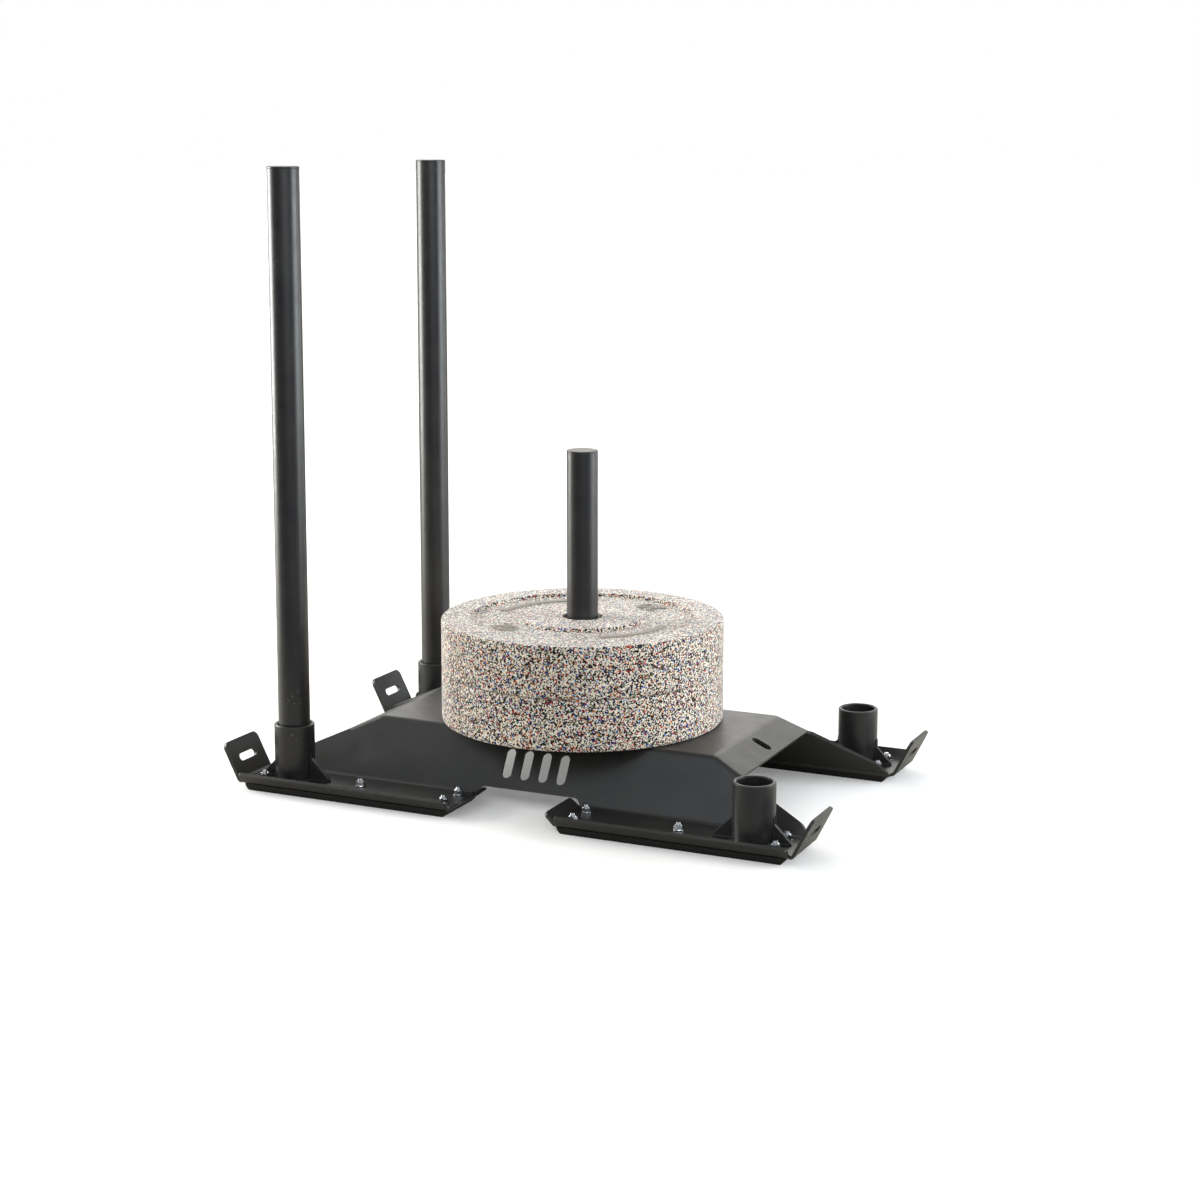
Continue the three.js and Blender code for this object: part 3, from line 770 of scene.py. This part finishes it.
bolt = {
    "head": 7.5, "shank": 4, "headLow": 1.2, "headRim": 0.4, "coneTop": 4.7, "end": 28.2,
    "key": (2.9, 2.6), "washer": (4.2, 8.5, 15.6, 17.2), "flats": 13, "nutFrom": 17.2, "hexTop": 23.2,
    "collar": [(6.2, 22.4), (6.2, 24.3), (5.6, 25.0), (5.0, 25.2)], "pitch": 1.25, "threadDepth": 0.55,
    "headEdge": 0.3, "plain": 4, "thread": 4.4, "tip": (0.5, 0.4), "washerEdge": 0.3,
    "nutEdge": (0.7, 0.9), "margin": 0.1, "shankSides": 24, "roundSides": 32, "nutSides": 48,
    "turns": (23, 31, 11),
}


def boltAndNut(b):
    outline = [(b["head"] - b["headEdge"], b["headLow"]), (b["head"], b["headLow"] + b["headRim"]),
               (b["shank"], b["coneTop"]), (b["shank"], b["nutFrom"] + b["plain"])]
    root = b["shank"] - b["threadDepth"]
    height = b["nutFrom"] + b["thread"]
    while height + b["pitch"] < b["end"]:
        outline += [(root, height), (b["shank"], height + b["pitch"] / 2)]
        height += b["pitch"]
    inwards, down = b["tip"]
    outline += [(root, b["end"] - down), (root - inwards, b["end"])]
    shank = turned(outline, b["shankSides"])
    bpy.ops.mesh.primitive_cylinder_add(vertices=6, radius=b["key"][0] * mm, depth=2 * b["key"][1] * mm)
    cutWith(shank, place(bpy.context.object, 0, 0, b["headLow"]))

    inside, outside, low, high = b["washer"]
    washer = turned([(inside, low), (outside, low), (outside, high), (inside, high), (inside, low)],
                    b["roundSides"], True)
    soften(washer, b["washerEdge"])

    across = b["flats"] / 2 / math.cos(math.pi / 6)
    bpy.ops.mesh.primitive_cylinder_add(vertices=6, radius=across * mm,
                                        depth=(b["hexTop"] - b["nutFrom"]) * mm)
    nut = place(bpy.context.object, 0, 0, (b["hexTop"] + b["nutFrom"]) / 2)
    flats, wide = b["flats"] / 2, across + b["margin"]
    under, over = b["nutEdge"]
    rounded = turned([(flats, b["nutFrom"] - b["margin"]), (wide, b["nutFrom"] + under),
                      (wide, b["hexTop"] - over), (flats, b["hexTop"] + b["margin"])], b["nutSides"])
    cutWith(nut, rounded, "INTERSECT")
    return joinAll([shank, washer, nut, turned(b["collar"], b["roundSides"])])


pattern = boltAndNut(bolt)
for name, sideX, sideY in quarters:
    for i, (x, y) in enumerate(foot["bolts"]):
        turn = sum(a * b for a, b in zip(bolt["turns"], (i, sideX, sideY)))
        copy = place(copyOf(pattern), sideX * x, sideY * y, 0, (0, 0, turn))
        settle(copy, "boltAndNut_%s_%d" % (name, i + 1), zincPlate,
               nodes=["bolt_%s_%d" % (name, i + 1)], angle=30)
bpy.data.objects.remove(pattern)
print("bolts and nuts set")


# Pole sockets, gussets and the welds of a foot

socket = {"outer": 31.75, "bore": 26.25, "height": 89.4, "chamfer": 1.5, "sides": 96, "edge": 0.4}
gusset = {
    "thickness": 6, "height": 42, "nose": 3, "gap": 0.3, "edge": 1,
    "lengths": {"inner": 32, "outer": 26},
}
# the beads' widths, and how far they stand off the metal or stop short of its ends
weld = {
    "socket": 4.6, "socketOff": 0.8, "base": 5, "baseOff": 0.8, "baseDown": 1, "baseEnds": 12,
    "gusset": 3.4, "gussetOff": 0.6, "gussetUp": 0.9, "gussetBack": 0.4, "gussetEnds": (2, 1.5),
}
fillet = {"low": 95, "high": 455, "reach": 5, "steps": 8, "lift": 0.1, "round": 0.98, "sheet": 0.5}


def poleSocket(s):
    low, top = foot["floor"], foot["floor"] + s["height"]
    piece = turned([(s["bore"], low), (s["outer"], low), (s["outer"], top - s["chamfer"]),
                    (s["outer"] - s["chamfer"], top), (s["bore"] + s["chamfer"], top),
                    (s["bore"], top - s["chamfer"]), (s["bore"], low)], s["sides"], True)
    soften(piece, s["edge"])
    return place(piece, foot["x"], foot["y"], 0)


def gussetPlate(g, length):
    piece = block((0, -g["thickness"] / 2, 0), (length, g["thickness"] / 2, g["height"]))
    startEdit(piece)
    cutOff((length, 0, g["nose"]), (g["height"] - g["nose"], 0, length - g["nose"]))
    stopEdit()
    faceOutwards(piece)
    soften(piece, g["edge"])
    return piece


def gussetWelds(g, length, w):
    beads = []
    up, back = w["gussetUp"], -w["gussetBack"]
    near, far = w["gussetEnds"]
    for side in (-1, 1):
        y = side * (g["thickness"] / 2 + w["gussetOff"])
        beads.append(weldLine((near, y, up), (length - far, y, up), w["gusset"]))
        beads.append(weldLine((back, y, near), (back, y, g["height"] - near), w["gusset"]))
    return joinAll(beads)


settleFeet(poleSocket(socket), "poleSocket", tubeCoat, "socket_%s")
for end, side in (("inner", -1), ("outer", 1)):
    length = gusset["lengths"][end]
    x = foot["x"] + side * (socket["outer"] + gusset["gap"])
    for kind, piece, finish, nodes in (
            ("Plate", gussetPlate(gusset, length), gussetCoatAndGlint, "gusset_%s_" + end),
            ("Welds", gussetWelds(gusset, length, weld), weldCoat, "")):
        place(place(piece, scale=(side, 1, 1)), x, foot["y"], foot["floor"])
        settleFeet(piece, end + "Gusset" + kind, finish, nodes)


def plateFillet(f):
    # the ground-flush weld between a side plate and its pan: two strips with a smooth bend between them
    splay = math.radians(deck["splay"])
    bpy.ops.mesh.primitive_plane_add(size=1)
    piece = bpy.context.object
    startEdit(piece)
    bpy.ops.transform.resize(value=((f["high"] - f["low"]) * mm, f["reach"] * mm, 1))
    shift((f["high"] + f["low"]) / 2, pan["footY"] + f["reach"] / 2, pan["top"] + f["lift"])
    pick(piece, "edges", lambda m, e: m.y < pan["footY"] + close and runsAlong(e, 0))
    pullEdges(0, -f["reach"] * math.sin(splay), f["reach"] * math.cos(splay))
    pick(piece, "edges", lambda m, e: len(e.link_faces) == 2)
    roundEdges(f["reach"] * f["round"], f["steps"])
    stopEdit()
    thicken(piece, f["sheet"])
    return piece


settleFeet(plateFillet(fillet), "plateFillet", sheetCoat)
socketWeld = weldRing(socket["outer"] + weld["socketOff"], weld["socket"], foot["x"], foot["y"],
                      foot["floor"] + weld["socketOff"])
settleFeet(socketWeld, "footWelds", weldCoat)
print("sockets, gussets and foot welds made")


# Push poles with their caps

pole = {"radius": 25, "wall": 3.5, "low": 15.6, "top": 976.6, "chamfer": 0.6, "sides": 96}
cap = {"gap": 0.3, "thickness": 3, "chamfer": 0.8, "edge": 0.25, "spigot": 12, "sides": 96}


def tube(t):
    inner = t["radius"] - t["wall"]
    piece = turned([(inner, t["low"]), (t["radius"], t["low"]), (t["radius"], t["top"]),
                    (inner, t["top"]), (inner, t["low"])], t["sides"], True)
    soften(piece, t["chamfer"])
    return piece


def capDisc(c, t):
    low = t["top"] + c["gap"]
    spigot = t["radius"] - t["wall"] - c["gap"]
    piece = turned([(spigot, t["top"] - c["spigot"]), (spigot, low), (t["radius"], low),
                    (t["radius"], low + c["thickness"] - c["chamfer"]),
                    (t["radius"] - c["chamfer"], low + c["thickness"])], c["sides"])
    soften(piece, c["edge"])
    return piece


for side, sign in (("left", 1), ("right", -1)):
    body = "pole_" + side
    settle(place(tube(pole), -foot["x"], sign * foot["y"], 0), "pushPole_" + side, tubeCoat, body,
           ["push_pole_" + side])
    settle(place(capDisc(cap, pole), -foot["x"], sign * foot["y"], 0), "poleCap_" + side, tubeCoat, body,
           ["pole_cap_" + side])
print("push poles made")


# Weight horn, its cap and base plate

horn = {"radius": 24.75, "wall": 4, "low": 100, "top": 532, "chamfer": 0.6, "sides": 96}
hornBase = {"half": 70, "low": 93.7, "top": 99.7, "corner": 10, "cornerSteps": 8, "edge": 0.7}

settle(place(tube(horn), deck["hornX"], 0, 0), "hornTube", tubeCoat, nodes=["horn_tube"])
piece = settle(place(capDisc(cap, horn), deck["hornX"], 0, 0), "hornCap", turnedSteel,
               nodes=["horn_cap"])
piece.data.materials.append(tubeCoat)
for face in piece.data.polygons:  # only the disc's top was wiped clean of powder
    face.material_index = 0 if face.normal.z > 0.5 else 1


def hornBasePlate(h):
    piece = block((-h["half"], -h["half"], h["low"]), (h["half"], h["half"], h["top"]))
    startEdit(piece)
    pick(piece, "edges", lambda m, e: runsAlong(e, 2))
    roundEdges(h["corner"], h["cornerSteps"])
    stopEdit()
    soften(piece, h["edge"])
    return place(piece, deck["hornX"], 0, 0)


settle(hornBasePlate(hornBase), "hornBasePlate", sheetCoat, nodes=["horn_base_plate"])
edge, run = hornBase["half"] + weld["baseOff"], hornBase["half"] - weld["baseEnds"]
height = hornBase["top"] - weld["baseDown"]
beads = []
for a, b in (((-run, -edge), (run, -edge)), ((-run, edge), (run, edge)),
             ((-edge, -run), (-edge, run)), ((edge, -run), (edge, run))):
    beads.append(weldLine((*a, height), (*b, height), weld["base"]))
settle(place(joinAll(beads), deck["hornX"], 0, 0), "hornBaseWelds", weldCoat)
print("horn made")


# Bumper plates, their hub inserts and raised marks

plate = {
    "radius": 225, "thickness": 81.3, "edge": 4, "edgeSteps": 8, "rim": 178, "hub": 97, "dish": 5,
    "slope": 4, "bore": 31.15, "groove": (38.15, 10.3), "round": 1.2, "roundSteps": 3, "sides": 160,
    "low": {"lower": 105.3, "upper": 186.9},
}
insert = {
    "bore": 25.35, "outer": 30.85, "collar": (37.85, 10), "recess": 5, "chamfer": 1, "edge": 0.25,
    "sides": 96,
}
marks = {
    "radius": 139, "height": 36, "number": "20", "letterScale": 1.35, "numberAt": (-127, 62),
    "thickness": 2.2, "arcWidth": 11, "arcs": ((126, 181), (-54, 1)), "arcSteps": 36,
}


def bumperPlate(p):
    top, middle = p["thickness"], p["thickness"] / 2
    reach = p["groove"][1]
    face = [(p["bore"], 0), (p["hub"], 0), (p["hub"] + p["slope"], p["dish"]),
            (p["rim"] - p["slope"], p["dish"]), (p["rim"], 0), (p["radius"], 0)]
    bore = [(p["bore"], middle + reach), (p["groove"][0], middle + reach),
            (p["groove"][0], middle - reach), (p["bore"], middle - reach), (p["bore"], 0)]
    piece = turned(face + [(r, top - z) for r, z in reversed(face)] + bore, p["sides"], True)
    startEdit(piece)
    rim = p["radius"] * math.cos(math.pi / p["sides"]) - close
    pick(piece, "edges", lambda m, e: m.xy.length > rim and not runsAlong(e, 2))
    roundEdges(p["edge"], p["edgeSteps"])
    stopEdit()
    soften(piece, p["round"], steps=p["roundSteps"])
    return piece


def hubInsert(i, thickness):
    middle = thickness / 2
    low, top = i["recess"], thickness - i["recess"]
    collar, reach = i["collar"]
    return turned([(i["bore"], low + i["chamfer"]), (i["bore"] + i["chamfer"], low), (i["outer"], low),
                   (i["outer"], middle - reach), (collar, middle - reach), (collar, middle + reach),
                   (i["outer"], middle + reach), (i["outer"], top), (i["bore"] + i["chamfer"], top),
                   (i["bore"], top - i["chamfer"]), (i["bore"], low + i["chamfer"])], i["sides"], True)


def inlay(m, height):
    # raised arcs and numbers that stand in the dish
    pieces = []
    for start, end in m["arcs"]:
        low, high = m["radius"] - m["arcWidth"] / 2, m["radius"] + m["arcWidth"] / 2
        piece = block((low, -0.5, 0), (high, 0.5, m["thickness"]))
        startEdit(piece)
        pick(piece, "faces", lambda c, f: c.y < -0.4)
        bpy.ops.mesh.delete(type="FACE")
        pick(piece, "faces", lambda c, f: c.y > 0.4)
        bpy.ops.mesh.spin(steps=m["arcSteps"], angle=math.radians(end - start), center=(0, 0, 0),
                          axis=(0, 0, -1))
        bpy.ops.mesh.select_all(action="SELECT")
        bpy.ops.mesh.fill_holes(sides=0)
        stopEdit()
        faceOutwards(piece)
        pieces.append(place(piece, tilt=(0, 0, start)))
    for angle in m["numberAt"]:
        bpy.ops.object.text_add()
        text = bpy.context.object
        text.data.body = m["number"]
        text.data.size = m["height"] * m["letterScale"] * mm
        text.data.extrude = m["thickness"] / 2 * mm
        text.data.align_x = text.data.align_y = "CENTER"
        choose(text)
        bpy.ops.object.convert(target="MESH")
        across = math.radians(angle)
        pieces.append(place(bpy.context.object, m["radius"] * math.cos(across),
                            m["radius"] * math.sin(across), m["thickness"] / 2, (0, 0, angle + 90)))
    return place(joinAll(pieces), deck["hornX"], 0, height)


for name, low in plate["low"].items():
    body = name + "_plate"
    settle(place(bumperPlate(plate), deck["hornX"], 0, low), "bumperPlate_" + name, rubberCrumb, body,
           ["bumper_plate_" + name])
    piece = hubInsert(insert, plate["thickness"])
    soften(piece, insert["edge"])
    settle(place(piece, deck["hornX"], 0, low), "hubInsert_" + name, turnedSteel, body,
           ["hub_insert_" + name])
    settle(inlay(marks, low + plate["thickness"] - plate["dish"]), "plateMarks_" + name, greyRubber,
           body)
print("bumper plates pressed")


# Studio: a pale floor, softboxes, and a surround that is plain white to the camera. What the sled
# mirrors of it is brighter behind the sled, most of all about 30 degrees up, and dimmer on the
# camera's side

studio = {
    "floor": 60, "white": "#e9e9e7", "creamy": "#ebeae7", "paper": 900,
    "glow": (1, 0.995, 0.985, 1), "lift": (0.7, 2.4, 0.14, 0.85),
    "mirroredNear": "#7e8086", "mirroredFar": "#d0cbbd", "turnsFrom": 0.42, "turnsTo": 0.8,
    # the surround's brightness by height, from the horizon to straight up, behind the sled and in front
    "brightest": 2.6,
    "behind": [(0.0, 0.6), (0.12, 0.6), (0.27, 0.6), (0.45, 2.1), (0.57, 1.5), (0.75, 0.6), (1.0, 0.3)],
    "front": [(0.0, 0.3), (0.3, 0.35), (0.55, 0.4), (0.8, 0.4), (1.0, 0.3)],
    "warm": (1.0, 0.98, 0.94, 1), "cool": (0.95, 0.975, 1.03, 1), "sidesMeet": (-0.45, 0.2),
    "sun": 0.35, "sunSize": 35, "sunFrom": (-0.5, 0.55, 0.8), "aim": (0, 0, 0.25),
    # a black flag behind on the right: its direction, the cosines where it fades, and what it lets by
    "flag": ((0.62, 0.73, 0.3), 0.91, 0.965, 0.05),
}
# each softbox: place, width and height, power and colour
softboxes = {
    "overhead": ((0.1, 0.3, 2.7), (2.0, 2.0), 3, (1.0, 0.99, 0.97)),
    "front": ((1.5, -2.2, 1.3), (2.2, 1.3), 20, (0.97, 0.98, 1.0)),
    "key": ((-0.2, -1.9, 1.8), (0.9, 0.9), 8, (0.86, 0.93, 1.0)),
    "right": ((2.2, 0.8, 0.75), (1.6, 1.2), 56, (0.9, 0.95, 1.0)),
    "left": ((-2.4, -0.3, 0.75), (1.0, 1.2), 74, (1.0, 0.99, 0.97)),
    "rim": ((1.6, 2.65, 0.45), (0.7, 0.7), 11, (0.9, 0.95, 1.0)),
    "back": ((-0.9, 2.7, 1.1), (2.4, 1.2), 12, (1.0, 0.98, 0.95)),
}


def towards(tree, where):
    # how far a point or a direction lies on the camera's side
    turn = math.radians(photoCamera["azimuth"])
    return addNode(tree, "VectorMath", {0: where, 1: (math.sin(turn), -math.cos(turn), 0.0)},
                   operation="DOT_PRODUCT").outputs["Value"]


def whiteFloor(s):
    # matt paper: white to the camera, and a darker one towards the camera in what the sled mirrors
    finish, tree, shader, where = startFinish("mattPaperFloor", Roughness=0.9, IOR=1.3)
    share = addNode(tree, "MapRange", {"Value": towards(tree, where), "From Min": s["turnsFrom"],
                                       "From Max": s["turnsTo"]}).outputs[0]
    mirrored = ramp(tree, share, (0.0, s["mirroredFar"]), (1.0, s["mirroredNear"]))
    paper = ramp(tree, noise(tree, where, s["paper"], 2), (0.3, s["white"]), (0.7, s["creamy"]))
    seen = addNode(tree, "LightPath").outputs["Is Camera Ray"]
    tree.links.new(blend(tree, seen, mirrored, paper), shader.inputs["Base Color"])
    # painted light: the floor glows, to the camera only, which also lightens its shadows round the sled
    shader.inputs["Emission Color"].default_value = s["glow"]
    away = addNode(tree, "VectorMath", {0: where}, operation="LENGTH").outputs["Value"]
    start, end, low, high = s["lift"]  # the paper is lit a little more the farther it is from the sled
    lift = addNode(tree, "MapRange", {"Value": away, "From Min": start, "From Max": end,
                                      "To Min": low, "To Max": high}).outputs[0]
    tree.links.new(maths(tree, "MULTIPLY", seen, lift), shader.inputs["Emission Strength"])
    bpy.ops.mesh.primitive_plane_add(size=s["floor"])
    floor = bpy.context.object
    floor.name = "studioFloor"
    floor.data.materials.append(finish)


def surround(s):
    world = bpy.data.worlds.new("studioSurround")
    bpy.context.scene.world = world
    world.use_nodes = True
    tree = world.node_tree
    where = addNode(tree, "TexCoord").outputs["Generated"]
    height = addNode(tree, "SeparateXYZ", {"Vector": where}).outputs["Z"]
    sides = []
    for side, tint in (("behind", "warm"), ("front", "cool")):
        stops = [(at, light / s["brightest"]) for at, light in s[side]]
        sides.append(blend(tree, 1.0, ramp(tree, height, *stops), s[tint], "MULTIPLY"))
    farSide, nearSide = s["sidesMeet"]
    share = addNode(tree, "MapRange", {"Value": towards(tree, where), "From Min": farSide,
                                       "From Max": nearSide}).outputs[0]
    light = blend(tree, share, *sides)
    at, outside, inside, left = s["flag"]
    near = addNode(tree, "VectorMath", {0: where, 1: at}, operation="DOT_PRODUCT").outputs["Value"]
    flag = addNode(tree, "MapRange", {"Value": near, "From Min": outside, "From Max": inside,
                                      "To Min": 1.0, "To Max": left}).outputs[0]
    light = blend(tree, 1.0, light, flag, "MULTIPLY")
    seen = addNode(tree, "LightPath").outputs["Is Camera Ray"]
    white = 1 / s["brightest"]
    backdrop = tree.nodes["Background"]
    tree.links.new(blend(tree, seen, light, (white, white, white, 1)), backdrop.inputs["Color"])
    backdrop.inputs["Strength"].default_value = s["brightest"]


def pointed(kind, name, at, aim=(0, 0, 0)):
    bpy.ops.object.light_add(type=kind, location=at)
    lamp = bpy.context.object
    lamp.name = name
    lamp.rotation_mode = "QUATERNION"
    lamp.rotation_quaternion = (Vector(at) - Vector(aim)).to_track_quat("Z", "Y")
    return lamp.data


whiteFloor(studio)
surround(studio)
sun = pointed("SUN", "softSun", studio["sunFrom"])
sun.energy = studio["sun"]
sun.angle = math.radians(studio["sunSize"])
for name, (at, size, power, tint) in softboxes.items():
    lamp = pointed("AREA", name + "Softbox", at, studio["aim"])
    lamp.shape = "RECTANGLE"
    lamp.size, lamp.size_y = size
    lamp.energy = power
    lamp.color = tint
bpy.context.scene.view_settings.view_transform = "Standard"
print("studio lit")
